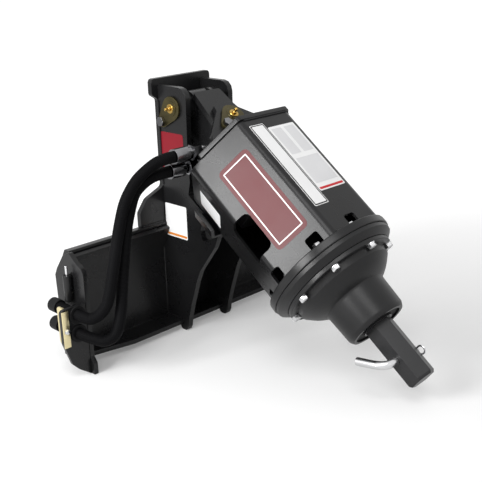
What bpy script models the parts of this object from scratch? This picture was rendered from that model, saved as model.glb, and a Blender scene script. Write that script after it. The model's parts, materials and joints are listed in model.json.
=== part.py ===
"""Earth auger drive on a swing link and a mast, with a quick-attach plate, standing on the floor.

Frame: origin at the centre of the mount plate's rear face, +X to the right seen from the front,
+Y to the loader, +Z up. The mast is laid out from the mast pin. The drive is laid out along its
own axis: t is the distance down that axis from the mast pin, n is the distance in front of it.
"""
import math

import bmesh
import bpy
from mathutils import Vector

MM = 0.001
GAP = 0.3 * MM

# Pose and pin places.
MAST_PIN_Y = -64 * MM
MAST_PIN_Z = 389 * MM
DRIVE_ANGLE = math.radians(37.27)
HANGER_T = 94 * MM

# Pins, bushes and flags.
PIN_RADIUS = 15.875 * MM
BUSH_WALL = 3.5 * MM
FLAG_RADIUS = 25
LOBE_RADIUS = 13
FLAG_THICKNESS = 5 * MM
FLAG_BOLT_RADIUS = 6 * MM

# Mast and link.
CHEEK_OUTER = 66 * MM
CHEEK_THICKNESS = 12.7 * MM
BACK_PLATE_FRONT = 44 * MM
BACK_PLATE_THICKNESS = 12 * MM
LINK_HALF_WIDTH = CHEEK_OUTER - CHEEK_THICKNESS - 0.5 * MM
LINK_HALF_DEPTH = 45 * MM
LINK_PLATE = 12 * MM
BUSH_LENGTH = 30 * MM
EAR_THICKNESS = 10 * MM
EAR_INNER = LINK_HALF_DEPTH + MM
EAR_OUTER = EAR_INNER + EAR_THICKNESS

# Mount plate: the lip is folded forward at its foot, and the whole part stands on FLOOR_Z.
PLATE_HALF_LENGTH = 320 * MM
PLATE_THICKNESS = 10
PLATE_HALF_HEIGHT = 82
PLATE_TOP = PLATE_HALF_HEIGHT + 57
FLOOR_Z = -106
END_PLATE_THICKNESS = 10 * MM
LIP_FRONT = -63
LIP_TAPER = 115
WING_REACH = 57.4
HOSE_HOLE_X = -PLATE_HALF_LENGTH - 32 * MM
HOSE_HOLE_Z = {"upper": 30 * MM, "lower": -9.5 * MM}
HOSE_RADIUS = 11.5 * MM
GROMMET_RADIUS = 15 * MM

# Drive housing and lid.
HEX_APOTHEM = 116
HEX_BEND = 18
HOUSING_WALL = 6
LID_T = (148 * MM, 158 * MM)
FLANGE_T = (446 * MM, 462 * MM)
SMALL_WINDOW_HALF = 14.5
BIG_WINDOW_T = (300, 385)

# Planetary gears.
MODULE = 3.5 * MM
SUN_TEETH = 18
PLANET_TEETH = 15
RING_TEETH = 48
GEAR_T = (466 * MM, 480 * MM)
PRESSURE_ANGLE = math.radians(20)
BACKLASH = 0.5 * MM
CARRIER_RADIUS = MODULE * (SUN_TEETH + PLANET_TEETH) / 2
PLANET_PIN_RADIUS = 10 * MM

# Gearbox bell, its neck and the output shaft.
CASE_END_T = 481
BELL_LENGTH = 56
NECK_T = CASE_END_T + BELL_LENGTH
CARRIER_END_T = NECK_T - 42.5
NECK_LENGTH = 64
NECK_END_T = NECK_T + NECK_LENGTH
BEARING_RADIUS = 50
JOURNAL_RADIUS = 32 * MM
HEX_FLAT = 50.8 * MM
CROSS_PIN_BELOW_NECK = 74 * MM
CROSS_PIN_T = NECK_END_T * MM + CROSS_PIN_BELOW_NECK
CROSS_PIN_RADIUS = 8 * MM
SHAFT_TIP_T = CROSS_PIN_T + 54 * MM

for old in list(bpy.data.objects):
    bpy.data.objects.remove(old, do_unlink=True)


def material(name, colour, metallic, roughness):
    made = bpy.data.materials.new(name)
    made.use_nodes = True
    shader = made.node_tree.nodes["Principled BSDF"]
    shader.inputs["Base Color"].default_value = (*colour, 1.0)
    shader.inputs["Metallic"].default_value = metallic
    shader.inputs["Roughness"].default_value = roughness
    return made


BLACK = material("black_paint", (0.02, 0.02, 0.022), 0.0, 0.35)
CAST = material("grey_casting", (0.05, 0.05, 0.053), 0.3, 0.45)
GOLD = material("yellow_zinc", (0.75, 0.62, 0.30), 1.0, 0.35)
STEEL = material("bright_zinc", (0.65, 0.65, 0.66), 1.0, 0.3)
MACHINED = material("machined_steel", (0.45, 0.45, 0.46), 1.0, 0.35)
RUBBER = material("black_rubber", (0.02, 0.02, 0.02), 0.0, 0.7)
BRONZE = material("bronze_bush", (0.55, 0.38, 0.18), 1.0, 0.4)


def empty(name, parent, location, angle=0.0):
    made = bpy.data.objects.new(name, None)
    bpy.context.scene.collection.objects.link(made)
    made.location = location
    made.rotation_euler = (angle, 0.0, 0.0)
    made.parent = parent
    return made


TILT = DRIVE_ANGLE - math.pi / 2
MAST = empty("mast_pin_place", None, (0.0, MAST_PIN_Y, MAST_PIN_Z))
STOWED = empty("stowed_drive_place", MAST, (0.0, 0.0, 0.0), TILT)
LINK_AXIS = empty("link_axis", MAST, (0.0, 0.0, 0.0), TILT)
HANGER_AXIS = empty("hanger_axis", LINK_AXIS, (0.0, 0.0, -HANGER_T))
OUTPUT_AXIS = empty("output_axis", HANGER_AXIS, (0.0, 0.0, HANGER_T - FLANGE_T[1]))


# Ways to lay an outline (u, v) with a depth w in space.
def along_x(u, v, w):
    return Vector((w, u, v))


def along_y(u, v, w):
    return Vector((u, w, v))


def along_z(u, v, w):
    return Vector((u, v, w))


def down_axis(origin):
    """Outline in (x, n), depth along t, for a parent whose origin is at t = origin."""
    return lambda x, n, t: Vector((x, -n, origin - t))


def across_front(origin):
    """Outline in (x, t), depth along n."""
    return lambda x, t, n: Vector((x, -n, origin - t))


def across_side(origin):
    """Outline in (n, t), depth along x."""
    return lambda n, t, x: Vector((x, -n, origin - t))


def rounded(corners, steps=3):
    """Outline in metres from corners in millimetres, each (u, v) or (u, v, radius)."""
    points = []
    for index, corner in enumerate(corners):
        here = Vector(corner[:2])
        if len(corner) == 2:
            points.append(here * MM)
            continue
        before = (Vector(corners[index - 1][:2]) - here).normalized()
        after = (Vector(corners[(index + 1) % len(corners)][:2]) - here).normalized()
        half = before.angle(after) / 2
        centre = here + (before + after).normalized() * corner[2] / math.sin(half)
        spoke = here + before * corner[2] / math.tan(half) - centre
        turn = math.copysign(math.pi - 2 * half, -before.cross(after))
        for step in range(steps + 1):
            angle = turn * step / steps
            cosine, sine = math.cos(angle), math.sin(angle)
            turned_spoke = Vector((spoke.x * cosine - spoke.y * sine, spoke.x * sine + spoke.y * cosine))
            points.append((centre + turned_spoke) * MM)
    return points


def mirrored(corners):
    """Corners on the right side, first to last, and then the same ones on the left side."""
    return list(corners) + [(-corner[0], *corner[1:]) for corner in reversed(corners)]


def polygon(sides, radius, start=0.0):
    turns = [start + 2 * math.pi * side / sides for side in range(sides)]
    return [Vector((radius * math.cos(turn), radius * math.sin(turn))) for turn in turns]


def circle_at(u, v, radius, sides=24):
    return [Vector((u, v)) + point for point in polygon(sides, radius)]


def teardrop(lobe_u, lobe_v, steps=9):
    """Flag outline in metres round the origin and a smaller lobe, joined by straight tangents."""
    lobe = Vector((lobe_u, lobe_v))
    heading = math.atan2(lobe.y, lobe.x)
    spread = math.acos((FLAG_RADIUS - LOBE_RADIUS) / lobe.length)
    points = []
    for centre, radius, first, last in (
        (Vector((0, 0)), FLAG_RADIUS, heading + spread, heading - spread + 2 * math.pi),
        (lobe, LOBE_RADIUS, heading - spread, heading + spread),
    ):
        for step in range(steps + 1):
            angle = first + (last - first) * step / steps
            points.append((centre + Vector((math.cos(angle), math.sin(angle))) * radius) * MM)
    return points


def shell(rings, closed_ends=True):
    """Mesh from rings of points, joined one after the other, with a face on each end."""
    mesh = bmesh.new()
    loops = [[mesh.verts.new(point) for point in ring] for ring in rings]
    for first, second in zip(loops, loops[1:]):
        for index in range(len(first)):
            mesh.faces.new((first[index - 1], first[index], second[index], second[index - 1]))
    if closed_ends:
        mesh.faces.new(loops[0])
        mesh.faces.new(loops[-1])
    else:
        for index in range(len(loops[0])):
            mesh.faces.new((loops[-1][index - 1], loops[-1][index], loops[0][index], loops[0][index - 1]))
    bmesh.ops.recalc_face_normals(mesh, faces=mesh.faces)
    return mesh


def prism(outline, place, low, high):
    return shell([[place(point[0], point[1], depth) for point in outline] for depth in (low, high)])


def hollow_prism(outer, inner, place, low, high):
    walls = ((outer, low), (outer, high), (inner, high), (inner, low))
    return shell([[place(u, v, depth) for u, v in outline] for outline, depth in walls], False)


def turned(profile, place, segments=32):
    """Solid of revolution from (radius, depth) corners, closed or with both its ends on the axis."""
    solid = profile[0][0] == 0
    corners = profile[1:-1] if solid else profile
    rings = [[place(p.x, p.y, depth) for p in polygon(segments, radius)] for radius, depth in corners]
    return shell(rings, solid)


def scaled(profile):
    return [(radius * MM, depth * MM) for radius, depth in profile]


def swept(path, radius, sides=12):
    """Round bar along a path of points."""
    rings = []
    side = (path[1] - path[0]).orthogonal().normalized()
    for index, point in enumerate(path):
        ahead = path[min(index + 1, len(path) - 1)]
        behind = path[max(index - 1, 0)]
        along = (ahead - behind).normalized()
        side = (side - along * side.dot(along)).normalized()
        other = along.cross(side)
        rings.append([point + side * p.x + other * p.y for p in polygon(sides, radius)])
    return shell(rings)


def smooth_path(points, count):
    """Points read from a smooth curve (Catmull-Rom) through the given points."""
    anchors = [2 * points[0] - points[1], *points, 2 * points[-1] - points[-2]]
    spans = len(points) - 1
    result = []
    for step in range(count):
        place = step * spans / (count - 1)
        index = min(int(place), spans - 1)
        s = place - index
        a, b, c, d = anchors[index:index + 4]
        result.append(0.5 * (2 * b + (c - a) * s + (2 * a - 5 * b + 4 * c - d) * s * s
                             + (3 * b - a - 3 * c + d) * s ** 3))
    return result


def piece(name, mesh, look, parent=None, location=(0.0, 0.0, 0.0), angle=0.0):
    data = bpy.data.meshes.new(name)
    mesh.to_mesh(data)
    mesh.free()
    data.materials.append(look)
    data.shade_smooth()
    data.set_sharp_from_angle(angle=math.radians(32))
    made = bpy.data.objects.new(name, data)
    bpy.context.scene.collection.objects.link(made)
    made.parent = parent
    made.location = location
    made.rotation_euler = (0.0, 0.0, angle)
    return made


def combine(target, tools, operation):
    """Join tool meshes to the piece, or cut them from it, with hidden helper objects."""
    for index, mesh in enumerate(tools):
        helper = piece(f"{target.name}_{operation.lower()}_{index}", mesh, BLACK, target.parent,
                       target.location)
        helper.hide_render = True
        helper.display_type = "WIRE"
        change = target.modifiers.new(helper.name, "BOOLEAN")
        change.operation = operation
        change.solver = "EXACT"
        change.object = helper
    return target


def bar(place, radius, low, high, u=0.0, v=0.0, sides=24):
    return prism(circle_at(u, v, radius, sides), place, low, high)


def make_bolt(name, place, parent, u, v, seat, direction, grip):
    """Hex bolt whose head rests on the seat depth and whose shank runs the other way."""
    head_high = seat + direction * 8 * MM
    outline = [Vector((u, v)) + point for point in polygon(6, 10.5 * MM)]
    head = prism(outline, place, seat + direction * GAP, head_high)
    bolt = piece(name, head, STEEL, parent)
    shank = bar(place, FLAG_BOLT_RADIUS, seat - direction * grip, seat + direction * 4 * MM, u, v, 16)
    return combine(bolt, [shank], "UNION")


def make_nipple(name, place, parent, seat, direction):
    """Grease nipple standing on a pin's end."""
    steps = ((0, 0.3), (5, 0.3), (5, 4.5), (3, 6), (3, 9), (3.6, 10), (3.6, 12), (1.5, 14), (0, 14))
    profile = [(radius * MM, seat + direction * depth * MM) for radius, depth in steps]
    return piece(name, turned(profile, place, 12), STEEL, parent)


# Mount: formed plate with a lower lip and a top band that leans forward, top bar, end plates.
def make_mount_plate():
    lip_bottom = -PLATE_HALF_HEIGHT - PLATE_THICKNESS
    corners = [
        (0, lip_bottom, 12), (0, PLATE_TOP - 54.5, 12), (-25.2, PLATE_TOP - 7.8), (-34, PLATE_TOP - 12.5),
        (-PLATE_THICKNESS, PLATE_HALF_HEIGHT), (-PLATE_THICKNESS, -PLATE_HALF_HEIGHT),
        (LIP_FRONT, -PLATE_HALF_HEIGHT), (LIP_FRONT, lip_bottom),
    ]
    body = prism(rounded(corners), along_x, -PLATE_HALF_LENGTH, PLATE_HALF_LENGTH)
    plate = piece("mount_plate", body, BLACK)
    cuts = []
    start, end = PLATE_HALF_LENGTH / MM - LIP_TAPER, PLATE_HALF_LENGTH / MM + 15
    for side in (-1, 1):
        taper = rounded([(side * start, LIP_FRONT), (side * end, LIP_FRONT + 27.4),
                         (side * end, LIP_FRONT - 17), (side * start, LIP_FRONT - 17)])
        cuts.append(prism(taper, along_z, (lip_bottom - 8) * MM, (lip_bottom + 22) * MM))
    return combine(plate, cuts, "DIFFERENCE")


def make_top_bar():
    corners = [(-24.6, PLATE_TOP - 7.2), (-25, PLATE_TOP, 2), (-8, PLATE_TOP, 3), (0, PLATE_TOP - 14),
               (0, PLATE_TOP - 52.8)]
    body = prism(rounded(corners, 2), along_x, -PLATE_HALF_LENGTH, PLATE_HALF_LENGTH)
    piece("top_bar", body, BLACK)


def make_end_plates():
    corners = [
        (-38, PLATE_TOP + 3, 6), (-61, PLATE_TOP - 15), (-82, PLATE_TOP - 24, 20), (-82, -70, 8),
        (-91, -82, 6), (-91, FLOOR_Z), (-11, FLOOR_Z), (-9, -94), (12, -93, 3), (12, -71), (16, 34),
        (18, 83, 4), (9, PLATE_TOP - 40), (-16, PLATE_TOP - 8, 4),
    ]
    inner = PLATE_HALF_LENGTH + GAP
    for name, side in (("end_plate_left", -1), ("end_plate_right", 1)):
        low, high = sorted((side * inner, side * (inner + END_PLATE_THICKNESS)))
        piece(name, prism(rounded(corners), along_x, low, high), BLACK)


def make_hose_bracket():
    inner = (PLATE_HALF_LENGTH + END_PLATE_THICKNESS + 2 * GAP) / MM
    outer = inner + WING_REACH
    corners = [
        (-inner, 48), (-outer, 48, 8), (-outer, -23, 10), (16 - outer, -71, 12), (31 - outer, -87, 10),
        (-inner, FLOOR_Z),
    ]
    wing = piece("hose_wing", prism(rounded(corners), along_y, -81 * MM, -73 * MM), BLACK)
    holes = [bar(along_y, GROMMET_RADIUS + GAP, -90 * MM, -60 * MM, HOSE_HOLE_X, height)
             for height in HOSE_HOLE_Z.values()]
    combine(wing, holes, "DIFFERENCE")
    clamp = rounded([(-72.7, -32, 3), (-49, -32, 6), (-49, 46, 6), (-72.7, 46, 3)])
    low, high = HOSE_HOLE_X - 24 * MM, HOSE_HOLE_X - 19 * MM
    plate = piece("hose_clamp_plate", prism(clamp, along_x, low, high), GOLD)
    combine(plate, [bar(along_x, 5 * MM, low - 4 * MM, high + 6 * MM, -60 * MM, -2 * MM, 16)], "DIFFERENCE")


def make_hose_ends():
    bore = (HOSE_RADIUS + GAP) / MM
    groove = GROMMET_RADIUS / MM
    ring = [(bore, -84.5), (18, -84.5), (18.5, -81.3), (groove, -81.3), (groove, -72.7), (18.5, -72.7),
            (18, -69.5), (bore, -69.5)]
    cap = [(0, -1.2), (bore, -1.2), (bore, -24), (14.5, -24), (14.5, 0), (13, 2), (0, 2)]
    for side, height in HOSE_HOLE_Z.items():
        centre = (HOSE_HOLE_X, 0.0, height)
        piece(f"grommet_{side}", turned(scaled(ring), along_y, 24), RUBBER, None, centre)
        piece(f"hose_end_cap_{side}", turned(scaled(cap), along_y, 24), RUBBER, None, centre)


# Hoses: routes from the drive's fittings to the holes in the wing, from the mast pin in mm.
HOSE_ROUTES = {
    "upper": [(-168.9, -114.5, -65.8), (-186, -114.5, -65.8), (-206, -109, -71), (-228, -103, -84),
              (-245, -98, -98), (-260, -94, -117), (-272, -90, -140), (-282, -87, -172),
              (-292, -86, -207), (-306, -85, -262), (-320, -82, -318), (-333, -74, -345),
              (-345, -58, -358), (-351, -38, -359), (-352, -20, -359), (-352, 20, -359),
              (-352, 62, -359)],
    "lower": [(-168.9, -99.8, -96.7), (-186, -99.8, -96.7), (-206, -92, -102), (-224, -83, -115),
              (-238, -78, -131), (-249, -76, -158), (-262, -76, -200), (-280, -80, -278),
              (-298, -88, -350), (-316, -92, -388), (-333, -80, -402), (-345, -60, -400.5),
              (-351, -40, -398.5), (-352, -20, -398.5), (-352, 20, -398.5), (-352, 62, -398.5)],
}


def make_hoses():
    for side, route in HOSE_ROUTES.items():
        curve = bpy.data.curves.new(f"hose_{side}", "CURVE")
        curve.dimensions = "3D"
        curve.bevel_depth = HOSE_RADIUS
        curve.bevel_resolution = 2
        curve.use_fill_caps = True
        line = curve.splines.new("POLY")
        path = smooth_path([Vector(point) * MM for point in route], 36)
        line.points.add(len(path) - 1)
        for target, point in zip(line.points, path):
            target.co = (*point, 1.0)
        curve.materials.append(RUBBER)
        hose = bpy.data.objects.new(f"hose_{side}", curve)
        bpy.context.scene.collection.objects.link(hose)
        hose.parent = MAST


# Mast: two cheeks, a back plate, a cradle that the stowed housing lies on, and the mast pin.
MAST_FLAG_BOLT = (27.6, -28.8)


def back_plate_foot():
    """Height at which the mast's rear parts stand on the top bar, in millimetres from the mast pin."""
    return PLATE_TOP - (MAST_PIN_Z - GAP) / MM


def make_cheeks():
    back = (BACK_PLATE_FRONT - GAP) / MM
    plate_front = -PLATE_THICKNESS - (MAST_PIN_Y + GAP) / MM
    lip_front = LIP_FRONT - (MAST_PIN_Y + GAP) / MM
    lip_top = -PLATE_HALF_HEIGHT - (MAST_PIN_Z - GAP) / MM
    lip_bottom = -PLATE_HALF_HEIGHT - PLATE_THICKNESS - (MAST_PIN_Z + GAP) / MM
    foot = back_plate_foot()
    corners = [
        (back, 44), (-43, 44, 22), (-40, -79), (-42.5, -150), (-36, -178, 3), (-79.5, -209.3), (-75.2, -214),
        (-78, -227, 3), (-68, -249, 12), (-73, -270, 6), (-87, -269, 4), (-106.5, -257, 3), (-107, -238.2),
        (-121.5, -249.3), (-117, -262, 4), (-109, -279, 6), (-61, -342, 20), (-49, -368, 20), (-28, -428, 20),
        (-17.5, lip_top + 7.7, 10), (-14, lip_bottom - 2.7, 6), (-8, lip_bottom - 13.7, 8),
        (10, lip_bottom - 13.7, 8), (14, lip_bottom), (lip_front, lip_bottom), (lip_front, lip_top),
        (plate_front, lip_top), (plate_front, foot - 57.7), (plate_front - 24, foot - 13.2),
        (plate_front - 25.2, foot), (back, foot),
    ]
    inner = CHEEK_OUTER - CHEEK_THICKNESS
    for name, side in (("cheek_left", -1), ("cheek_right", 1)):
        low, high = sorted((side * inner, side * CHEEK_OUTER))
        cheek = piece(name, prism(rounded(corners), along_x, low, high), BLACK, MAST)
        holes = [bar(along_x, PIN_RADIUS + GAP, low - MM, high + MM)]
        if side < 0:
            holes.append(bar(along_x, FLAG_BOLT_RADIUS + GAP, low - MM, high + MM, MAST_FLAG_BOLT[0] * MM,
                             MAST_FLAG_BOLT[1] * MM, 16))
        combine(cheek, holes, "DIFFERENCE")


def make_back_plate():
    width = CHEEK_OUTER / MM
    right = [(133, back_plate_foot()), (133, -218, 10), (112, -191, 14), (width, -172, 10), (width, 14, 8),
             (width + 16, 24, 8), (width + 16, 57.5, 8)]
    rear = BACK_PLATE_FRONT + BACK_PLATE_THICKNESS
    piece("mast_back_plate", prism(rounded(mirrored(right)), along_y, BACK_PLATE_FRONT, rear), BLACK, MAST)


def make_cradle():
    right = [(85.7, -124.5, 12), (103, -94.5), (96.1, -90.5), (81.1, -116.5, 4)]
    piece("cradle_plate", prism(rounded(mirrored(right)), down_axis(0), 190.5 * MM, 250 * MM), BLACK, STOWED)
    half = CHEEK_OUTER - CHEEK_THICKNESS - GAP
    corners = [(-62, -283), (-52, -283), (-52, -214), (-62, -214)]
    piece("cradle_cross_plate", prism(rounded(corners), along_x, -half, half), BLACK, MAST)


def make_mast_pin():
    seat = -CHEEK_OUTER - GAP
    pin = piece("mast_pin", bar(along_x, PIN_RADIUS, seat - FLAG_THICKNESS - 1.5 * MM, CHEEK_OUTER + 5 * MM),
                GOLD, MAST)
    combine(pin, [prism(teardrop(*MAST_FLAG_BOLT), along_x, seat - FLAG_THICKNESS, seat)], "UNION")
    hole = bar(along_x, FLAG_BOLT_RADIUS + GAP, seat - 10 * MM, seat + MM, MAST_FLAG_BOLT[0] * MM,
               MAST_FLAG_BOLT[1] * MM, 16)
    combine(pin, [hole], "DIFFERENCE")
    make_bolt("mast_pin_bolt", along_x, MAST, MAST_FLAG_BOLT[0] * MM, MAST_FLAG_BOLT[1] * MM,
              seat - FLAG_THICKNESS, -1, 17 * MM)
    make_nipple("mast_pin_grease_nipple", along_x, MAST, seat - FLAG_THICKNESS - 1.5 * MM, -1)


# Link: a welded box that swings on the mast pin and carries the hanger pin across it.
def make_link():
    front = across_front(0)
    side_view = across_side(0)
    face = mirrored([(36, 8, 5), (44, 90, 20), (28, 131, 16)])
    depth = LINK_HALF_DEPTH
    body = piece("link_body", prism(rounded(face), front, depth - LINK_PLATE, depth), BLACK, LINK_AXIS)
    side = rounded([(35, -18, 18), (35, 126), (-35, 126), (-35, -18, 18)])
    joined = [
        prism(rounded(face), front, -depth, LINK_PLATE - depth),
        prism(side, side_view, -30 * MM, -22 * MM),
        prism(side, side_view, 22 * MM, 30 * MM),
        bar(side_view, 30 * MM, -LINK_HALF_WIDTH, LINK_HALF_WIDTH),
        bar(front, 28 * MM, MM - depth, depth - MM, 0.0, HANGER_T),
    ]
    combine(body, joined, "UNION")
    inner = PIN_RADIUS + GAP
    outer = inner + BUSH_WALL
    mast_bore = bar(side_view, outer + GAP, -LINK_HALF_WIDTH - MM, LINK_HALF_WIDTH + MM)
    combine(body, [mast_bore, bar(front, outer + GAP, -depth - MM, depth + MM, 0.0, HANGER_T)], "DIFFERENCE")
    bushes = (
        ("mast_bush_left", side_view, -LINK_HALF_WIDTH, 0.0),
        ("mast_bush_right", side_view, LINK_HALF_WIDTH - BUSH_LENGTH, 0.0),
        ("hanger_bush_rear", front, -depth, -HANGER_T),
        ("hanger_bush_front", front, depth - BUSH_LENGTH, -HANGER_T),
    )
    for name, place, low, height in bushes:
        high = low + BUSH_LENGTH
        ring = [(inner, low), (outer, low), (outer, high), (inner, high)]
        piece(name, turned(ring, place), BRONZE, LINK_AXIS, (0.0, 0.0, height))


# Drive head: ears, lid, hexagonal housing, flange, motor with ports, gearbox.
HANGER_FLAG_BOLT = (-35, 22)


def make_ears():
    place = across_front(HANGER_T)
    shapes = {
        "ear_front": (EAR_INNER, EAR_OUTER,
                      [(26, 57, 10), (30, 75, 8), (87, 129, 8), (87, 147.7)]),
        "ear_rear": (-EAR_OUTER, -EAR_INNER,
                     [(26, 57, 10), (34, 80), (34, 125, 6), (56, 147.7)]),
    }
    for name, (low, high, right) in shapes.items():
        ear = piece(name, prism(rounded(mirrored(right)), place, low, high), BLACK, HANGER_AXIS)
        holes = [bar(place, PIN_RADIUS + GAP, low - MM, high + MM, 0.0, HANGER_T)]
        if name == "ear_front":
            holes.append(bar(place, FLAG_BOLT_RADIUS + GAP, low - MM, high + MM, HANGER_FLAG_BOLT[0] * MM,
                             HANGER_T + HANGER_FLAG_BOLT[1] * MM, 16))
        combine(ear, holes, "DIFFERENCE")


def make_hanger_pin():
    place = across_front(0)
    seat = EAR_OUTER + GAP
    end = seat + FLAG_THICKNESS + MM
    pin = piece("hanger_pin", bar(place, PIN_RADIUS, -EAR_OUTER - 4 * MM, end), GOLD, HANGER_AXIS)
    combine(pin, [prism(teardrop(*HANGER_FLAG_BOLT), place, seat, seat + FLAG_THICKNESS)], "UNION")
    u, v = HANGER_FLAG_BOLT[0] * MM, HANGER_FLAG_BOLT[1] * MM
    combine(pin, [bar(place, FLAG_BOLT_RADIUS + GAP, seat - MM, seat + 10 * MM, u, v, 16)], "DIFFERENCE")
    make_bolt("hanger_pin_bolt", place, HANGER_AXIS, u, v, seat + FLAG_THICKNESS, 1, 14 * MM)
    make_nipple("hanger_grease_nipple", place, HANGER_AXIS, end, 1)


def hexagon(apothem, bend):
    """Regular hexagon with flats in front and behind and rounded corners, in metres."""
    radius = apothem / math.cos(math.pi / 6)
    turns = [math.pi / 3 * side for side in range(6)]
    return rounded([(radius * math.cos(turn), radius * math.sin(turn), bend) for turn in turns], 5)


def make_lid():
    corner = 120 / math.cos(math.pi / 6)
    slope = math.tan(math.pi / 6)
    corners = [
        (corner / 2, 120, 10), (-corner / 2, 120, 10), (-corner + 24 * slope, 24, 4), (-92, 24), (-92, 32, 8),
        (-58, 32, 8), (-58, -112, 4), (corner - 112 * slope, -112, 6), (corner, 0, 10),
    ]
    piece("lid_plate", prism(rounded(corners), down_axis(HANGER_T), *LID_T), BLACK, HANGER_AXIS)


def make_housing():
    place = down_axis(HANGER_T)
    low, high = LID_T[1] + GAP, FLANGE_T[0] - GAP
    outer = hexagon(HEX_APOTHEM, HEX_BEND)
    inner = hexagon(HEX_APOTHEM - HOUSING_WALL, HEX_BEND - HOUSING_WALL)
    housing = piece("housing_shell", hollow_prism(outer, inner, place, low, high), BLACK, HANGER_AXIS)
    cuts = []
    top = 419
    for turn in range(4):
        angle = turn * math.pi / 4
        across = Vector((math.cos(angle), math.sin(angle)))
        along = Vector((-math.sin(angle), math.cos(angle)))

        def window_place(u, v, w, across=across, along=along):
            spot = across * u + along * w
            return Vector((spot.x, -spot.y, HANGER_T - v))

        half = SMALL_WINDOW_HALF
        outline = rounded([(half, 452), (half, top, 5), (-half, top, 5), (-half, 452)])
        cuts.append(prism(outline, window_place, -150 * MM, 150 * MM))
    wide = rounded([(30.3, BIG_WINDOW_T[0], 12), (30.3, BIG_WINDOW_T[1], 12), (-30.3, BIG_WINDOW_T[1], 12),
                    (-30.3, BIG_WINDOW_T[0], 12)])
    cuts.append(prism(wide, across_side(HANGER_T), -150 * MM, -90 * MM))
    combine(housing, cuts, "DIFFERENCE")


def make_flange_and_motor():
    place = down_axis(HANGER_T)
    flange = [(60, 446), (136, 446), (137, 447.5), (137, 460.5), (136, 462), (60, 462)]
    piece("flange_plate", turned(scaled(flange), place, 40), BLACK, HANGER_AXIS)
    body = [(0, 262.3), (56, 262.3), (56, 300), (54, 301), (54, 303), (56, 304), (56, 352), (54, 353),
            (54, 355), (56, 356), (56, 424), (78, 430), (78, 445.7), (14, 445.7), (14, 424), (0, 424)]
    piece("motor_body", turned(scaled(body), place), CAST, HANGER_AXIS)
    cap = [(0, 240), (50, 240), (57, 246), (57, 262), (0, 262)]
    piece("motor_end_cap", turned(scaled(cap), place), CAST, HANGER_AXIS)
    block = rounded([(-56.5, -34, 3), (-56.5, 34, 3), (-94, 34, 6), (-94, -34, 6)])
    piece("port_block", prism(block, place, 264 * MM, 298 * MM), CAST, HANGER_AXIS)


PORTS = {"upper": (131, 17), "lower": (138, -16.5)}


def make_ports():
    lay = down_axis(HANGER_T)
    bend = 26
    for side, (axis_t, n) in PORTS.items():
        path = [lay(-75 * MM, n * MM, 263.7 * MM)]
        for step in range(9):
            turn = math.pi / 2 * step / 8
            x = -75 - bend * (1 - math.cos(turn))
            t = axis_t + bend * (1 - math.sin(turn))
            path.append(lay(x * MM, n * MM, t * MM))
        path.append(lay(-102 * MM, n * MM, axis_t * MM))
        piece(f"port_tube_{side}", swept(path, 10.5 * MM, 12), STEEL, HANGER_AXIS)
        place = across_side(HANGER_T)
        nut = [Vector((n * MM, axis_t * MM)) + p for p in polygon(6, 16.2 * MM)]
        fitting = piece(f"hose_fitting_{side}", prism(nut, place, -122 * MM, -102.3 * MM), STEEL, HANGER_AXIS)
        sleeve = [(0, -168), (15, -168), (15.3, -166), (15.3, -134), (13, -131), (12, -131), (12, -112),
                  (0, -112)]

        def sleeve_place(u, v, w, n=n, axis_t=axis_t):
            return place(u + n * MM, v + axis_t * MM, w)

        combine(fitting, [turned(scaled(sleeve), sleeve_place, 24)], "UNION")


def involute(angle):
    return math.tan(angle) - angle


def gear_outline(teeth, tip, root, widen, phase):
    """Involute tooth outline: widen is added to each tooth's thickness on the pitch circle."""
    pitch = MODULE * teeth / 2
    base = pitch * math.cos(PRESSURE_ANGLE)
    flank = 3
    half_pitch = math.pi / (2 * teeth) + widen / (2 * pitch) + involute(PRESSURE_ANGLE)
    points = []
    for tooth in range(teeth):
        centre = phase + 2 * math.pi * tooth / teeth
        steps = [root + (tip - root) * step / (flank - 1) for step in range(flank)]
        halves = [half_pitch - involute(math.acos(min(1.0, base / radius))) for radius in steps]
        climb = [(radius, centre - half) for radius, half in zip(steps, halves)]
        fall = [(radius, centre + half) for radius, half in zip(reversed(steps), reversed(halves))]
        points += [radius * Vector((math.cos(turn), math.sin(turn))) for radius, turn in climb + fall]
    return points


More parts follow.
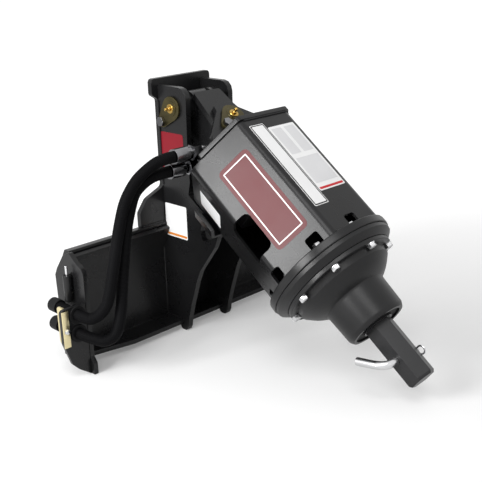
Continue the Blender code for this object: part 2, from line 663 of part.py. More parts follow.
def make_gearbox():
    place = down_axis(HANGER_T)
    case = [(40, 462.3), (134, 462.3), (134, 470), (120.5, CASE_END_T), (40, CASE_END_T)]
    body = piece("gearbox_case", turned(scaled(case), place, 40), CAST, HANGER_AXIS)
    pitch = MODULE * RING_TEETH / 2
    ring = gear_outline(RING_TEETH, pitch + 1.25 * MODULE, pitch - MODULE, BACKLASH / 2, math.pi / 2)
    combine(body, [prism(ring, place, 465.3 * MM, 484 * MM)], "DIFFERENCE")
    seat = CASE_END_T + 0.3
    end = NECK_END_T
    bore = BEARING_RADIUS + 0.3
    bell = [
        (92, seat), (119, seat), (119.5, seat + 0.7), (119.5, seat + 7.7), (118.5, seat + 8.7),
        (104, seat + 8.7), (102, NECK_T - 34), (97, NECK_T - 29), (90, NECK_T - 22), (83, NECK_T - 16),
        (75, NECK_T - 10.5), (66, NECK_T - 5.5), (64.5, NECK_T), (62.3, end - 9), (60, end - 4), (57, end),
        (bore, end), (bore, end - 41.3), (46, end - 41.3), (46, NECK_T - 2.7), (bore, NECK_T - 2.7),
        (bore, NECK_T - 25.3), (60, NECK_T - 29), (92, NECK_T - 39),
    ]
    piece("gearbox_bell", turned(scaled(bell), place, 36), CAST, HANGER_AXIS)
    journal = JOURNAL_RADIUS / MM + 0.3
    rings = (
        ("bearing_upper", NECK_T - 25, NECK_T - 3, journal, MACHINED),
        ("bearing_lower", end - 41, end - 19, journal, MACHINED),
        ("shaft_seal", end - 16, end - 4, journal + 0.2, RUBBER),
    )
    for name, low, high, inner, look in rings:
        ring = [(inner, low), (BEARING_RADIUS, low), (BEARING_RADIUS, high), (inner, high)]
        piece(name, turned(scaled(ring), place), look, HANGER_AXIS)


# Turning pieces: carrier and output shaft in one, planet gears on their pins, sun and motor shaft.
def make_output_shaft():
    place = down_axis(FLANGE_T[1])
    journal = JOURNAL_RADIUS / MM
    shoulder = NECK_T - 25.6
    profile = [(0, CASE_END_T + 1.5), (78, CASE_END_T + 1.5), (78, CARRIER_END_T), (40, CARRIER_END_T + 5.5),
               (40, shoulder), (journal, shoulder), (journal, NECK_END_T), (0, NECK_END_T)]
    shaft = piece("output_shaft", turned(scaled(profile), place), MACHINED, OUTPUT_AXIS)
    corner = HEX_FLAT / math.sqrt(3)
    rings = ((corner, (NECK_END_T - 3) * MM), (corner, SHAFT_TIP_T - 5 * MM), (corner - 4 * MM, SHAFT_TIP_T))
    end = shell([[place(p.x, p.y, t) for p in polygon(6, radius, math.pi / 2)] for radius, t in rings])
    combine(shaft, [end], "UNION")
    side_view = across_side(FLANGE_T[1])
    holes = [bar(side_view, CROSS_PIN_RADIUS + GAP, -50 * MM, 50 * MM, 0.0, CROSS_PIN_T, 24)]
    for index in range(3):
        turn = math.pi / 2 + index * 2 * math.pi / 3
        u, v = CARRIER_RADIUS * math.cos(turn), CARRIER_RADIUS * math.sin(turn)
        holes.append(bar(place, PLANET_PIN_RADIUS + GAP, 475 * MM, (CARRIER_END_T + 5.5) * MM, u, v, 24))
    combine(shaft, holes, "DIFFERENCE")


def make_planets():
    place = along_z
    depth = FLANGE_T[1]
    pitch = MODULE * PLANET_TEETH / 2
    tip, root = pitch + MODULE, pitch - 1.25 * MODULE
    for index in range(3):
        turn = math.pi / 2 + index * 2 * math.pi / 3
        centre = (CARRIER_RADIUS * math.cos(turn), -CARRIER_RADIUS * math.sin(turn), 0.0)
        outline = gear_outline(PLANET_TEETH, tip, root, -BACKLASH / 2, -turn)
        gear = prism(outline, place, depth - GEAR_T[1] + MM / 2, depth - GEAR_T[0] - MM / 2)
        planet = piece(f"planet_gear_{index + 1}", gear, MACHINED, OUTPUT_AXIS, centre)
        combine(planet, [bar(place, PLANET_PIN_RADIUS + GAP, -50 * MM, 50 * MM, sides=24)], "DIFFERENCE")
        low, high = depth - CARRIER_END_T * MM, depth - GEAR_T[0] - MM / 2
        pin = bar(place, PLANET_PIN_RADIUS, low, high, sides=24)
        piece(f"planet_pin_{index + 1}", pin, MACHINED, OUTPUT_AXIS, centre)


def make_sun():
    place = along_z
    depth = FLANGE_T[1]
    pitch = MODULE * SUN_TEETH / 2
    outline = gear_outline(SUN_TEETH, pitch + MODULE, pitch - 1.25 * MODULE, -BACKLASH / 2, math.pi / 2)
    gear = prism(outline, place, depth - GEAR_T[1], depth - GEAR_T[0])
    sun = piece("sun_gear", gear, MACHINED, OUTPUT_AXIS)
    combine(sun, [bar(place, 12.8 * MM, -50 * MM, 50 * MM, sides=24)], "DIFFERENCE")
    piece("motor_shaft", bar(place, 12.5 * MM, depth - 479.5 * MM, depth - 424.3 * MM, sides=24), MACHINED,
          OUTPUT_AXIS)


def make_cross_pin():
    """Pin through the hexagon, with a bent handle on the left and a wire clip on the right."""
    lay = down_axis(FLANGE_T[1])
    flat = HEX_FLAT / (2 * MM)
    clip_x = flat + 7.6
    bend_x = -flat - 10.6
    path = [lay(x * MM, 0.0, CROSS_PIN_T) for x in (clip_x + 5, 20, 0, -20, bend_x)]
    start, knee, end = Vector((bend_x, 0, 0)), Vector((bend_x - 20, 0, 0)), Vector((bend_x - 22, -20, -20))
    for step in range(1, 9):
        s = step / 8
        spot = start * (1 - s) ** 2 + knee * 2 * s * (1 - s) + end * s * s
        path.append(lay(spot.x * MM, spot.y * MM, CROSS_PIN_T + spot.z * MM))
    path.append(lay((bend_x - 24) * MM, -43 * MM, CROSS_PIN_T - 44 * MM))
    pin = piece("cross_pin", swept(path, CROSS_PIN_RADIUS), STEEL, OUTPUT_AXIS)
    hole = bar(across_front(FLANGE_T[1]), 2.3 * MM, -20 * MM, 20 * MM, clip_x * MM, CROSS_PIN_T, 12)
    combine(pin, [hole], "DIFFERENCE")
    clip = [(-15, 0), (-8, 0), (0, 0), (8, 0), (14, 0)]
    for step in range(1, 10):
        turn = math.pi * 1.2 * step / 9
        clip.append((14 + 8 * math.sin(turn), 8 * (1 - math.cos(turn))))
    clip += [(2, 10.6), (-3, 11), (-11, 14.5)]
    wire = [lay(clip_x * MM, n * MM, CROSS_PIN_T + down * MM) for n, down in clip]
    piece("cross_pin_clip", swept(wire, 2 * MM, 6), STEEL, OUTPUT_AXIS)


make_mount_plate()
make_top_bar()
make_end_plates()
make_hose_bracket()
make_hose_ends()
make_hoses()
make_cheeks()
make_back_plate()
make_cradle()
make_mast_pin()
make_link()
make_ears()
make_hanger_pin()
make_lid()
make_housing()
make_flange_and_motor()
make_ports()
make_gearbox()
make_output_shaft()
make_planets()
make_sun()
make_cross_pin()
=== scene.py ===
import json
import math

import bmesh
import bpy
from mathutils import Matrix, Vector


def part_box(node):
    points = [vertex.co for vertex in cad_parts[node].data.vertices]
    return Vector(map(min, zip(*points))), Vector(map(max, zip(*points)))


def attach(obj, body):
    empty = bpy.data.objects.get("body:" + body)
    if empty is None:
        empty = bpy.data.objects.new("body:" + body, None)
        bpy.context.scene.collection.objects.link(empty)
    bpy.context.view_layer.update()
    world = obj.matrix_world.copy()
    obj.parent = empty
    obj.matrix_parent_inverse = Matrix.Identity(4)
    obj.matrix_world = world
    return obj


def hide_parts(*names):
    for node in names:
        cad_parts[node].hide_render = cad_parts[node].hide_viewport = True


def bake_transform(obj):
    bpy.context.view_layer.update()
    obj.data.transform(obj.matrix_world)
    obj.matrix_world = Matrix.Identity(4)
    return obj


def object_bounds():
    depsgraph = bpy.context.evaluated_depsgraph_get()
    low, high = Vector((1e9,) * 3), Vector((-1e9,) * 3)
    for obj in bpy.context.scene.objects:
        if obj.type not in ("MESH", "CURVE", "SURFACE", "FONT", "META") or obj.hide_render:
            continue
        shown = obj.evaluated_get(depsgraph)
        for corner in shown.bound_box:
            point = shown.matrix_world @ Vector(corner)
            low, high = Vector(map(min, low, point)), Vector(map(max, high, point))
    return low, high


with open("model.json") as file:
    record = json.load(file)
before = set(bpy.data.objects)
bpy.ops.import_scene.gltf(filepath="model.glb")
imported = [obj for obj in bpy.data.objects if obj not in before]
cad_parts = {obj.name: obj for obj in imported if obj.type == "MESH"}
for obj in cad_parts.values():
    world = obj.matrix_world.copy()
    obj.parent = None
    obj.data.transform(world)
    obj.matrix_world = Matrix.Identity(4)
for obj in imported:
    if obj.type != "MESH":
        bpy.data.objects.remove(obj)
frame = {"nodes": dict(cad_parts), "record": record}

cad_box = [list(corner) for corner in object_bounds()]

# Camera: the photograph is taken from the front left, a little above the drive, with a long lens.
# Its turn is the one that the picture's parallel edges give.
camera_data = bpy.data.cameras.new("camera")
camera_data.sensor_width = 36.0
camera_data.lens = 65.18
camera = bpy.data.objects.new("camera", camera_data)
bpy.context.scene.collection.objects.link(camera)
camera_right = Vector((0.70675, -0.70681, -0.0304))
camera_down = Vector((-0.25029, -0.20961, -0.94521))
camera_ahead = Vector((0.66171, 0.67563, -0.32505))
camera_turn = Matrix((camera_right, -camera_down, -camera_ahead)).transposed()
camera.matrix_world = Matrix.Translation((-1.2148, -1.4251, 0.7082)) @ camera_turn.to_4x4()
bpy.context.scene.camera = camera
bpy.context.scene.view_settings.view_transform = "Standard"

# Loader mount: a formed plate that hooks on the loader, with a top bar, two end plates on feet and
# a wing for the hoses. All are cut and bent steel, powder coated satin black. The coat leaves
# their edges a little round.
MM = 0.001


def mm(x, y, z):
    """Place in the frame, in millimetres."""
    return Vector((x, y, z)) * MM


def finish_nodes(name, colour, roughness, metallic, grain_size, grain_depth, spread, specular=0.5):
    """Surface finish with fine grain, slow shade changes and uneven gloss, on Object coordinates."""
    made = bpy.data.materials.new(name)
    made.use_nodes = True
    nodes, links = made.node_tree.nodes, made.node_tree.links
    shader = nodes["Principled BSDF"]
    shader.inputs["Metallic"].default_value = metallic
    shader.inputs["Specular IOR Level"].default_value = specular
    place = nodes.new("ShaderNodeTexCoord")
    slow = nodes.new("ShaderNodeTexNoise")
    slow.inputs["Scale"].default_value = 14.0
    slow.inputs["Detail"].default_value = 6.0
    links.new(place.outputs["Object"], slow.inputs["Vector"])
    shade = nodes.new("ShaderNodeValToRGB")
    darkest, lightest = shade.color_ramp.elements
    darkest.position = 0.3
    darkest.color = (*[part * (1 - spread) for part in colour], 1.0)
    lightest.position = 0.72
    lightest.color = (*[min(1.0, part * (1 + spread)) for part in colour], 1.0)
    links.new(slow.outputs["Fac"], shade.inputs["Fac"])
    links.new(shade.outputs["Color"], shader.inputs["Base Color"])
    gloss = nodes.new("ShaderNodeMapRange")
    gloss.inputs["To Min"].default_value = roughness - 0.05
    gloss.inputs["To Max"].default_value = roughness + 0.07
    links.new(slow.outputs["Fac"], gloss.inputs["Value"])
    links.new(gloss.outputs["Result"], shader.inputs["Roughness"])
    fine = nodes.new("ShaderNodeTexNoise")
    fine.inputs["Scale"].default_value = grain_size
    fine.inputs["Detail"].default_value = 2.0
    links.new(place.outputs["Object"], fine.inputs["Vector"])
    bump = nodes.new("ShaderNodeBump")
    bump.inputs["Strength"].default_value = grain_depth
    bump.inputs["Distance"].default_value = 0.4 * MM
    links.new(fine.outputs["Fac"], bump.inputs["Height"])
    links.new(bump.outputs["Normal"], shader.inputs["Normal"])
    return made


bodies = frame["record"]["behaviour"]["bodies"]
body_of_node = {node: body for body, nodes in bodies.items() for node in nodes}
smooth_below = math.radians(33)


def dressed(node, material, edge_radius):
    """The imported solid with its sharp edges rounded, in place of the node."""
    mesh = bmesh.new()
    mesh.from_mesh(frame["nodes"][node].data)
    bmesh.ops.remove_doubles(mesh, verts=mesh.verts, dist=0.01 * MM)
    bmesh.ops.dissolve_limit(mesh, angle_limit=math.radians(1), verts=mesh.verts, edges=mesh.edges)
    sharp = [edge for edge in mesh.edges if edge.is_manifold and edge.calc_face_angle(0.0) > smooth_below]
    bmesh.ops.bevel(mesh, geom=sharp, offset=edge_radius, segments=2, profile=0.5, affect="EDGES",
                    clamp_overlap=True, material=-1)
    data = bpy.data.meshes.new(f"{node}_finished")
    mesh.to_mesh(data)
    mesh.free()
    data.shade_smooth()
    data.set_sharp_from_angle(angle=smooth_below)
    data.materials.append(material)
    made = bpy.data.objects.new(f"{node}_finished", data)
    bpy.context.scene.collection.objects.link(made)
    even = made.modifiers.new("even_shading", "WEIGHTED_NORMAL")
    even.keep_sharp = True
    bpy.context.view_layer.update()
    graph = bpy.context.evaluated_depsgraph_get()
    made.data = bpy.data.meshes.new_from_object(made.evaluated_get(graph), preserve_all_data_layers=True,
                                                depsgraph=graph)
    made.modifiers.clear()
    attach(made, body_of_node[node])
    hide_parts(node)
    return made


powder_coat = finish_nodes("powder_coat", (0.009, 0.009, 0.0095), 0.27, 0.0, 700.0, 0.16, 0.15, 0.3)
plate_edge = 1.1 * MM
for plate_name in ("mount_plate", "top_bar", "end_plate_left", "end_plate_right", "hose_wing"):
    dressed(plate_name, powder_coat, plate_edge)

# Mount welds: fillet welds join the mount plate to its end plates. A bead is a rippled round bar
# laid in the corner and painted over with the plates.
ripple_length = 2.2 * MM
ripple_height = 0.13
bead_stand = 0.5


def as_piece(name, mesh, material, body):
    """An object of its own that shows the mesh and rides on the body."""
    mesh.materials.append(material)
    made = bpy.data.objects.new(name, mesh)
    bpy.context.scene.collection.objects.link(made)
    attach(made, body)
    return made


def tube_mesh(name, points, radius, bevel_steps, swell=None):
    """Round tube with closed ends along the points, as a mesh. Swell scales its radius at each point."""
    curve = bpy.data.curves.new(name, "CURVE")
    curve.dimensions = "3D"
    curve.bevel_depth = radius
    curve.bevel_resolution = bevel_steps
    curve.use_fill_caps = True
    line = curve.splines.new("POLY")
    line.points.add(len(points) - 1)
    for index, point in enumerate(points):
        line.points[index].co = (*point, 1.0)
        if swell:
            line.points[index].radius = swell[index]
    guide = bpy.data.objects.new(name, curve)
    mesh = bpy.data.meshes.new_from_object(guide)
    bpy.data.objects.remove(guide)
    mesh.shade_smooth()
    return mesh


def weld_bead(name, start, end, radius, body):
    count = max(8, int((end - start).length / ripple_length))
    points = [start.lerp(end, index / (count - 1)) for index in range(count)]
    swell = [1.0 + ripple_height * math.cos(index * math.pi) for index in range(count)]
    as_piece(name, tube_mesh(name, points, radius * MM, 2, swell), powder_coat, body)


plate_thickness = 10
plate_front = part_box("mount_plate")[1][1] / MM - plate_thickness
plate_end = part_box("mount_plate")[1][0] / MM
end_bead_low, end_bead_high = -78, 79
for side_name, side in (("left", -1), ("right", 1)):
    corner_x = side * (plate_end - bead_stand)
    corner_y = plate_front - bead_stand
    bead_ends = [mm(corner_x, corner_y, height) for height in (end_bead_low, end_bead_high)]
    weld_bead(f"end_plate_weld_{side_name}", *bead_ends, 2.8, "mount_frame")

# Latch tube: a short painted tube stands on the left end plate's outer face. A plated lock pin
# sits in it and shows above the rim.
bright_zinc = finish_nodes("bright_zinc", (0.66, 0.66, 0.67), 0.24, 1.0, 240.0, 0.08, 0.12)
across = Vector((1.0, 0.0, 0.0))
upward = Vector((0.0, 0.0, 1.0))
forward = Vector((0.0, -1.0, 0.0))


def placed(origin, right, up, out):
    """Matrix that sets a piece down at the origin, with its X, Y and Z along right, up and out."""
    return Matrix.Translation(origin) @ Matrix((right, up, out)).transposed().to_4x4()


def settle(name, mesh, material, body, angle=35):
    """Turns the finished bmesh into a piece, smooth apart from edges sharper than the angle."""
    bmesh.ops.recalc_face_normals(mesh, faces=mesh.faces)
    data = bpy.data.meshes.new(name)
    mesh.to_mesh(data)
    mesh.free()
    data.shade_smooth()
    data.set_sharp_from_angle(angle=math.radians(angle))
    return as_piece(name, data, material, body)


def turned(name, place, foot_radius, top_radius, height, rim, material, body):
    """Round piece with rounded rims, standing on the place's XY plane."""
    mesh = bmesh.new()
    bmesh.ops.create_cone(mesh, cap_ends=True, segments=36, radius1=foot_radius * MM,
                          radius2=top_radius * MM, depth=height * MM,
                          matrix=Matrix.Translation(mm(0, 0, height / 2)))
    rims = [edge for edge in mesh.edges if edge.calc_face_angle(0.0) > 1.0]
    bmesh.ops.bevel(mesh, geom=rims, offset=rim * MM, segments=3, profile=0.5, affect="EDGES", material=-1)
    bmesh.ops.transform(mesh, matrix=place, verts=mesh.verts)
    settle(name, mesh, material, body)


latch_radius, latch_pin_radius = 8.5, 2.7
latch_edge = 0.8
latch_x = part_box("end_plate_left")[0][0] / MM - latch_radius - bead_stand
latch_y = -39
latch_foot, latch_rim = 43.5, 98
latch_pin_foot, latch_pin_top = 90, 117
latch_seat = placed(mm(latch_x, latch_y, latch_foot), across, -forward, upward)
turned("latch_tube", latch_seat, latch_radius, latch_radius, latch_rim - latch_foot, latch_edge,
       powder_coat, "mount_frame")
latch_pin_seat = placed(mm(latch_x, latch_y, latch_pin_foot), across, -forward, upward)
turned("latch_pin", latch_pin_seat, latch_pin_radius, latch_pin_radius, latch_pin_top - latch_pin_foot,
       latch_edge, bright_zinc, "mount_frame")

# Mast: two shaped cheeks stand on the mount plate, with a back plate behind them and the cradle
# that the stowed drive lies on. Plate steel, welded all round and coated like the mount.
for plate_name in ("cheek_left", "cheek_right", "mast_back_plate", "cradle_plate", "cradle_cross_plate"):
    dressed(plate_name, powder_coat, plate_edge)
cheek_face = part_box("cheek_right")[1][0] / MM
back_plate_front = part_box("mast_back_plate")[0][1] / MM
back_plate_foot = 140
lip_top = -81
for side_name, side in (("left", -1), ("right", 1)):
    bead_x = side * (cheek_face + bead_stand)
    back_y = back_plate_front - bead_stand
    front_y = plate_front - bead_stand
    lip_z = lip_top - bead_stand
    back_ends = [mm(bead_x, back_y, height) for height in (221, 401)]
    plate_ends = [mm(bead_x, front_y, height) for height in (-77, 77)]
    lip_ends = [mm(bead_x, depth, lip_z) for depth in (-58, -14)]
    foot_ends = [mm(side * reach, back_plate_front, back_plate_foot) for reach in (70, 128)]
    weld_bead(f"cheek_back_weld_{side_name}", *back_ends, 3, "mount_frame")
    weld_bead(f"cheek_plate_weld_{side_name}", *plate_ends, 2, "mount_frame")
    weld_bead(f"cheek_lip_weld_{side_name}", *lip_ends, 3, "mount_frame")
    weld_bead(f"back_plate_weld_{side_name}", *foot_ends, 2.8, "mount_frame")

# Mast pin: a steel pin, plated yellow zinc, with its flag bolted to the left cheek. The zinc's colour is
# painted dark, a painted reflection of the dark surroundings it mirrors. Its outer end has a turned hub
# and a grease nipple, both plated bright gold.
# Yellow zinc with its colour darkened: a painted dark reflection.
dark_reflection_zinc = finish_nodes("dark_reflection_zinc", (0.085, 0.072, 0.032), 0.3, 0.9, 160.0, 0.1, 0.4)
gold_zinc = finish_nodes("gold_zinc", (0.52, 0.34, 0.09), 0.2, 1.0, 160.0, 0.1, 0.2)
crimp_steel = finish_nodes("crimp_steel", (0.25, 0.25, 0.26), 0.15, 1.0, 120.0, 0.12, 0.4)
flag_edge = 0.6 * MM
small_edge = 0.4 * MM
mast_pin = mm(0, -64, 389)
mast_pin_end = Vector((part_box("mast_pin")[0][0], mast_pin.y, mast_pin.z))
dressed("mast_pin", dark_reflection_zinc, flag_edge)
dressed("mast_pin_bolt", crimp_steel, small_edge)
dressed("mast_pin_grease_nipple", gold_zinc, small_edge)
hub_foot_radius, hub_top_radius = 10.5, 9.2
hub_height, hub_sink = 2.6, 1.2


def pin_hub(name, pin_end, right, up, out, body):
    place = placed(pin_end - out * hub_sink * MM, right, up, out)
    turned(name, place, hub_foot_radius, hub_top_radius, hub_height, 0.5, gold_zinc, body)


pin_hub("mast_pin_hub", mast_pin_end, forward, upward, -across, "mount_frame")

# Link: a short welded box between the mast pin and the hanger pin, coated black, with a bronze bush
# pressed into each end of its two bores.
dressed("link_body", powder_coat, 0.8 * MM)
bronze = finish_nodes("bronze", (0.55, 0.38, 0.18), 0.35, 1.0, 300.0, 0.1, 0.15)


def plain(node, material):
    """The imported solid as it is, in the material."""
    frame["nodes"][node].data.materials.clear()
    frame["nodes"][node].data.materials.append(material)


for bush_name in ("mast_bush_left", "mast_bush_right", "hanger_bush_front", "hanger_bush_rear"):
    plain(bush_name, bronze)

# Hanger pin: the drive hangs on it between a front and a rear ear, so that it can sway. The pin is
# like the mast pin, with its flag bolted to the front ear.
drive_tilt = math.radians(37.27)
drive_front = Vector((0.0, -math.sin(drive_tilt), math.cos(drive_tilt)))
drive_down = Vector((0.0, -math.cos(drive_tilt), -math.sin(drive_tilt)))


def on_drive(x, n, t):
    """Place beside the drive's axis, in mm: x to the right, n in front, t down from the mast pin."""
    return mast_pin + (across * x + drive_front * n + drive_down * t) * MM


for ear_name in ("ear_front", "ear_rear"):
    dressed(ear_name, powder_coat, plate_edge)
# The hanger pin takes the same darkened zinc, a painted dark reflection.
dressed("hanger_pin", dark_reflection_zinc, flag_edge)
dressed("hanger_pin_bolt", crimp_steel, small_edge)
dressed("hanger_grease_nipple", gold_zinc, small_edge)
hanger_pin_t = 94
hanger_pin_reach = 62.3
hanger_pin_end = on_drive(0, hanger_pin_reach, hanger_pin_t)
pin_hub("hanger_pin_hub", hanger_pin_end, across, -drive_down, drive_front, "drive_head")

# Housing: a six-sided shell, folded from plate round the motor and cut with windows for wrenches.
# Its lid carries the ears. Shell, lid and ears are welded and powder coated together.
for plate_name in ("lid_plate", "housing_shell"):
    dressed(plate_name, powder_coat, plate_edge)
ear_bead_n, ear_bead_t = 57, 147
for ear_name, reach, side in (("ear_front", 85, 1), ("ear_rear", 54, -1)):
    bead_ends = [on_drive(x, side * ear_bead_n, ear_bead_t) for x in (-reach, reach)]
    weld_bead(f"{ear_name}_weld", *bead_ends, 3.2, "drive_head")
housing_flat = 116
housing_half_side = 58
lid_bead_t = 159


def flat_ends(number, stand, low, high, t):
    """Both ends of a line on one of the housing's flats, from low to high across it."""
    turn = number * math.pi / 3
    out = Vector((-math.sin(turn), math.cos(turn))) * (housing_flat + stand)
    along = Vector((-math.cos(turn), -math.sin(turn)))
    return [on_drive(*(out + along * reach), t) for reach in (low, high)]


for number in (0, 3, 4, 5):
    bead_ends = flat_ends(number, 1.0, -housing_half_side, housing_half_side, lid_bead_t)
    weld_bead(f"lid_weld_{number}", *bead_ends, 2, "drive_head")

# Motor: a cast hydraulic motor with an end cap and a port block, in black paint over a rough skin,
# a little greyer than the plates. Two bent steel tubes, plated bright zinc, lead from its ports.
cast_paint = finish_nodes("cast_paint", (0.010, 0.010, 0.0105), 0.32, 0.0, 420.0, 0.3, 0.18, 0.3)
cast_edge = 0.6 * MM
for casting_name in ("motor_body", "motor_end_cap", "port_block"):
    dressed(casting_name, cast_paint, cast_edge)
for tube_name in ("port_tube_upper", "port_tube_lower"):
    dressed(tube_name, bright_zinc, small_edge)
oiled_steel = finish_nodes("oiled_steel", (0.20, 0.20, 0.21), 0.3, 1.0, 300.0, 0.12, 0.2)
plain("motor_shaft", oiled_steel)

# Gearbox: a turned flange, welded on the housing's foot between the windows, carries the cast case
# and bell. The gears, pins and bearings inside are plain oiled steel, and the seal is rubber.
dressed("flange_plate", powder_coat, 0.8 * MM)
for casting_name in ("gearbox_case", "gearbox_bell"):
    dressed(casting_name, cast_paint, cast_edge)
for inner_name in ("sun_gear", "bearing_upper", "bearing_lower"):
    plain(inner_name, oiled_steel)
for number in (1, 2, 3):
    plain(f"planet_gear_{number}", oiled_steel)
    plain(f"planet_pin_{number}", oiled_steel)
moulded_rubber = finish_nodes("moulded_rubber", (0.006, 0.006, 0.0065), 0.55, 0.0, 500.0, 0.3, 0.2, 0.15)
rubber_edge = 0.5 * MM
dressed("shaft_seal", moulded_rubber, rubber_edge)
flange_top = 446
flange_bead_t = flange_top - 0.8
beads_between_windows = (
    ((-58, -17), (17, 58)), ((-12, 44),), ((-44, 12),),
    ((-58, -17), (17, 58)), ((-12, 44),), ((-44, 12),),
)
for number, spans in enumerate(beads_between_windows):
    for part, (low, high) in enumerate(spans):
        bead_ends = flat_ends(number, bead_stand, low, high, flange_bead_t)
        weld_bead(f"flange_weld_{number}_{part}", *bead_ends, 3, "drive_head")

# Gearbox bolts: eight plated hex bolts with washers clamp the bell to the case, and eight more hold
# the flange, where the windows in the housing let a wrench in.
bolt_across_flats = 15
washer_height = 1.6
case_bolt_circle, case_bolt_t = 110.5, 490
flange_bolt_circle = 104


def hex_bolt(name, place, across_flats, height, washer_radius, body):
    """Washer and chamfered hex head, standing on the place's XY plane."""
    mesh = bmesh.new()
    rim = washer_radius * MM
    bmesh.ops.create_cone(mesh, cap_ends=True, segments=28, radius1=rim, radius2=rim,
                          depth=washer_height * MM,
                          matrix=Matrix.Translation(mm(0, 0, washer_height / 2)))
    corner = across_flats / math.sqrt(3) * MM
    head = bmesh.ops.create_cone(mesh, cap_ends=True, segments=6, radius1=corner, radius2=corner,
                                 depth=height * MM,
                                 matrix=Matrix.Translation(mm(0, 0, washer_height + height / 2)))
    top = [vert for vert in head["verts"] if vert.co.z > height * MM]
    edges = [edge for edge in mesh.edges if edge.verts[0] in top and edge.verts[1] in top]
    bmesh.ops.bevel(mesh, geom=edges, offset=1.2 * MM, segments=2, profile=0.5, affect="EDGES", material=-1)
    bmesh.ops.transform(mesh, matrix=place, verts=mesh.verts)
    settle(name, mesh, bright_zinc, body, 25)


for number in range(8):
    turn = number * math.pi / 4
    spoke = Vector((math.sin(turn), math.cos(turn)))
    case_spot = on_drive(*(spoke * case_bolt_circle), case_bolt_t)
    case_seat = placed(case_spot, across, -drive_front, drive_down)
    hex_bolt(f"case_bolt_{number}", case_seat, bolt_across_flats, 6.8, 9, "drive_head")
    flange_spot = on_drive(*(spoke * flange_bolt_circle), flange_top)
    flange_seat = placed(flange_spot, across, drive_front, -drive_down)
    hex_bolt(f"flange_bolt_{number}", flange_seat, bolt_across_flats, 11, 9.5, "drive_head")

# Output shaft: turned steel with a milled hex end, in a black finish. A bent cross pin with a
# spring clip, both plated bright zinc, holds the auger on it.
black_oxide = finish_nodes("black_oxide", (0.018, 0.018, 0.019), 0.3, 0.1, 260.0, 0.12, 0.2, 0.35)
dressed("output_shaft", black_oxide, 0.8 * MM)
for pin_name in ("cross_pin", "cross_pin_clip"):
    dressed(pin_name, bright_zinc, small_edge)

# Hose ends: crimped steel fittings screw on the port tubes. At the far end each hose passes a
# rubber grommet in the bracket and ends in a moulded rubber cap.
for side in ("upper", "lower"):
    dressed(f"hose_fitting_{side}", crimp_steel, small_edge)
    dressed(f"grommet_{side}", moulded_rubber, rubber_edge)
    dressed(f"hose_end_cap_{side}", moulded_rubber, rubber_edge)

# Hoses: two rubber pressure hoses in a black woven sleeve, from the drive's fittings to the bracket
# on the left end plate. Their routes are laid out from the mast pin, in millimetres.
hose_radius = 11.5 * MM
hose_routes = {
    "upper": [
        (-168.9, -114.5, -65.8), (-186, -114.5, -65.8), (-206, -109, -71), (-228, -103, -84),
        (-245, -98, -98), (-260, -94, -117), (-272, -90, -140), (-282, -87, -172), (-292, -86, -207),
        (-306, -85, -262), (-320, -82, -318), (-333, -74, -345), (-345, -58, -358), (-351, -38, -359),
        (-352, -20, -359), (-352, 20, -359), (-352, 62, -359),
    ],
    "lower": [
        (-168.9, -99.8, -96.7), (-186, -99.8, -96.7), (-206, -92, -102), (-224, -83, -115),
        (-238, -78, -131), (-249, -76, -158), (-262, -76, -200), (-280, -80, -278), (-298, -88, -350),
        (-316, -92, -388), (-333, -80, -402), (-345, -60, -400.5), (-351, -40, -398.5),
        (-352, -20, -398.5), (-352, 20, -398.5), (-352, 62, -398.5),
    ],
}
hose_rings = 900
strand_count = 7
strand_pitch = 22 * MM
strand_depth = 0.8 * MM


def smooth_path(points, count):
    """Places along the smooth curve through the points."""
    anchors = [2 * points[0] - points[1], *points, 2 * points[-1] - points[-2]]
    spans = len(points) - 1
    result = []
    for step in range(count):
        place = step * spans / (count - 1)
        index = min(int(place), spans - 1)
        s = place - index
        a, b, c, d = anchors[index:index + 4]
        result.append(0.5 * (2 * b + (c - a) * s + (2 * a - 5 * b + 4 * c - d) * s * s
                             + (3 * b - a - 3 * c + d) * s ** 3))
    return result


def braid(mesh, points):
    """Raises crossing strands on a tube whose rings follow the points."""
    around = len(mesh.vertices) // len(points)
    travelled = 0.0
    for ring, centre in enumerate(points):
        travelled += (centre - points[ring - 1]).length if ring else 0.0
        slide = 2 * math.pi * travelled / strand_pitch
        for index in range(around):
            vertex = mesh.vertices[ring * around + index]
            turn = 2 * math.pi * index / around
            crest = max(math.cos(strand_count * (turn + slide)), math.cos(strand_count * (turn - slide)))
            vertex.co += (vertex.co - centre).normalized() * strand_depth * (crest - 1.0)
    mesh.update()


woven_sleeve = finish_nodes("woven_sleeve", (0.003, 0.003, 0.0035), 0.58, 0.0, 900.0, 0.3, 0.3, 0.06)
for side, route in hose_routes.items():
    path = smooth_path([mast_pin + mm(*point) for point in route], hose_rings)
    sleeve = tube_mesh(f"hose_sleeve_{side}", path, hose_radius, 16)
    braid(sleeve, path)
    sleeve.materials.append(woven_sleeve)
    hose = bpy.data.objects.new(f"hose_sleeve_{side}", sleeve)
    bpy.context.scene.collection.objects.link(hose)
    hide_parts(f"hose_{side}")
    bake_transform(hose)

# Hose clamp: a folded steel bracket, plated yellow zinc, holds the grommets. Its front leg lies on
# the mount's wing and is held by a small hex bolt.
yellow_zinc = finish_nodes("yellow_zinc", (0.80, 0.70, 0.42), 0.3, 1.0, 160.0, 0.1, 0.12)
dressed("hose_clamp_plate", yellow_zinc, flag_edge)
leg_x = -380.2
leg_width, leg_thickness, leg_height = 14.6, 2.6, 76
leg = bmesh.new()
bmesh.ops.create_cube(leg, size=1.0)
bmesh.ops.scale(leg, vec=mm(leg_width, leg_thickness, leg_height), verts=leg.verts)
bmesh.ops.translate(leg, vec=mm(leg_x, -82.7, 7), verts=leg.verts)
bmesh.ops.bevel(leg, geom=leg.edges, offset=flag_edge, segments=2, profile=0.5, affect="EDGES", material=-1)
settle("hose_clamp_leg", leg, yellow_zinc, "mount_frame")
hex_bolt("hose_clamp_bolt", placed(mm(leg_x, -84, 4), across, upward, forward), 9, 4, 5.6, "mount_frame")

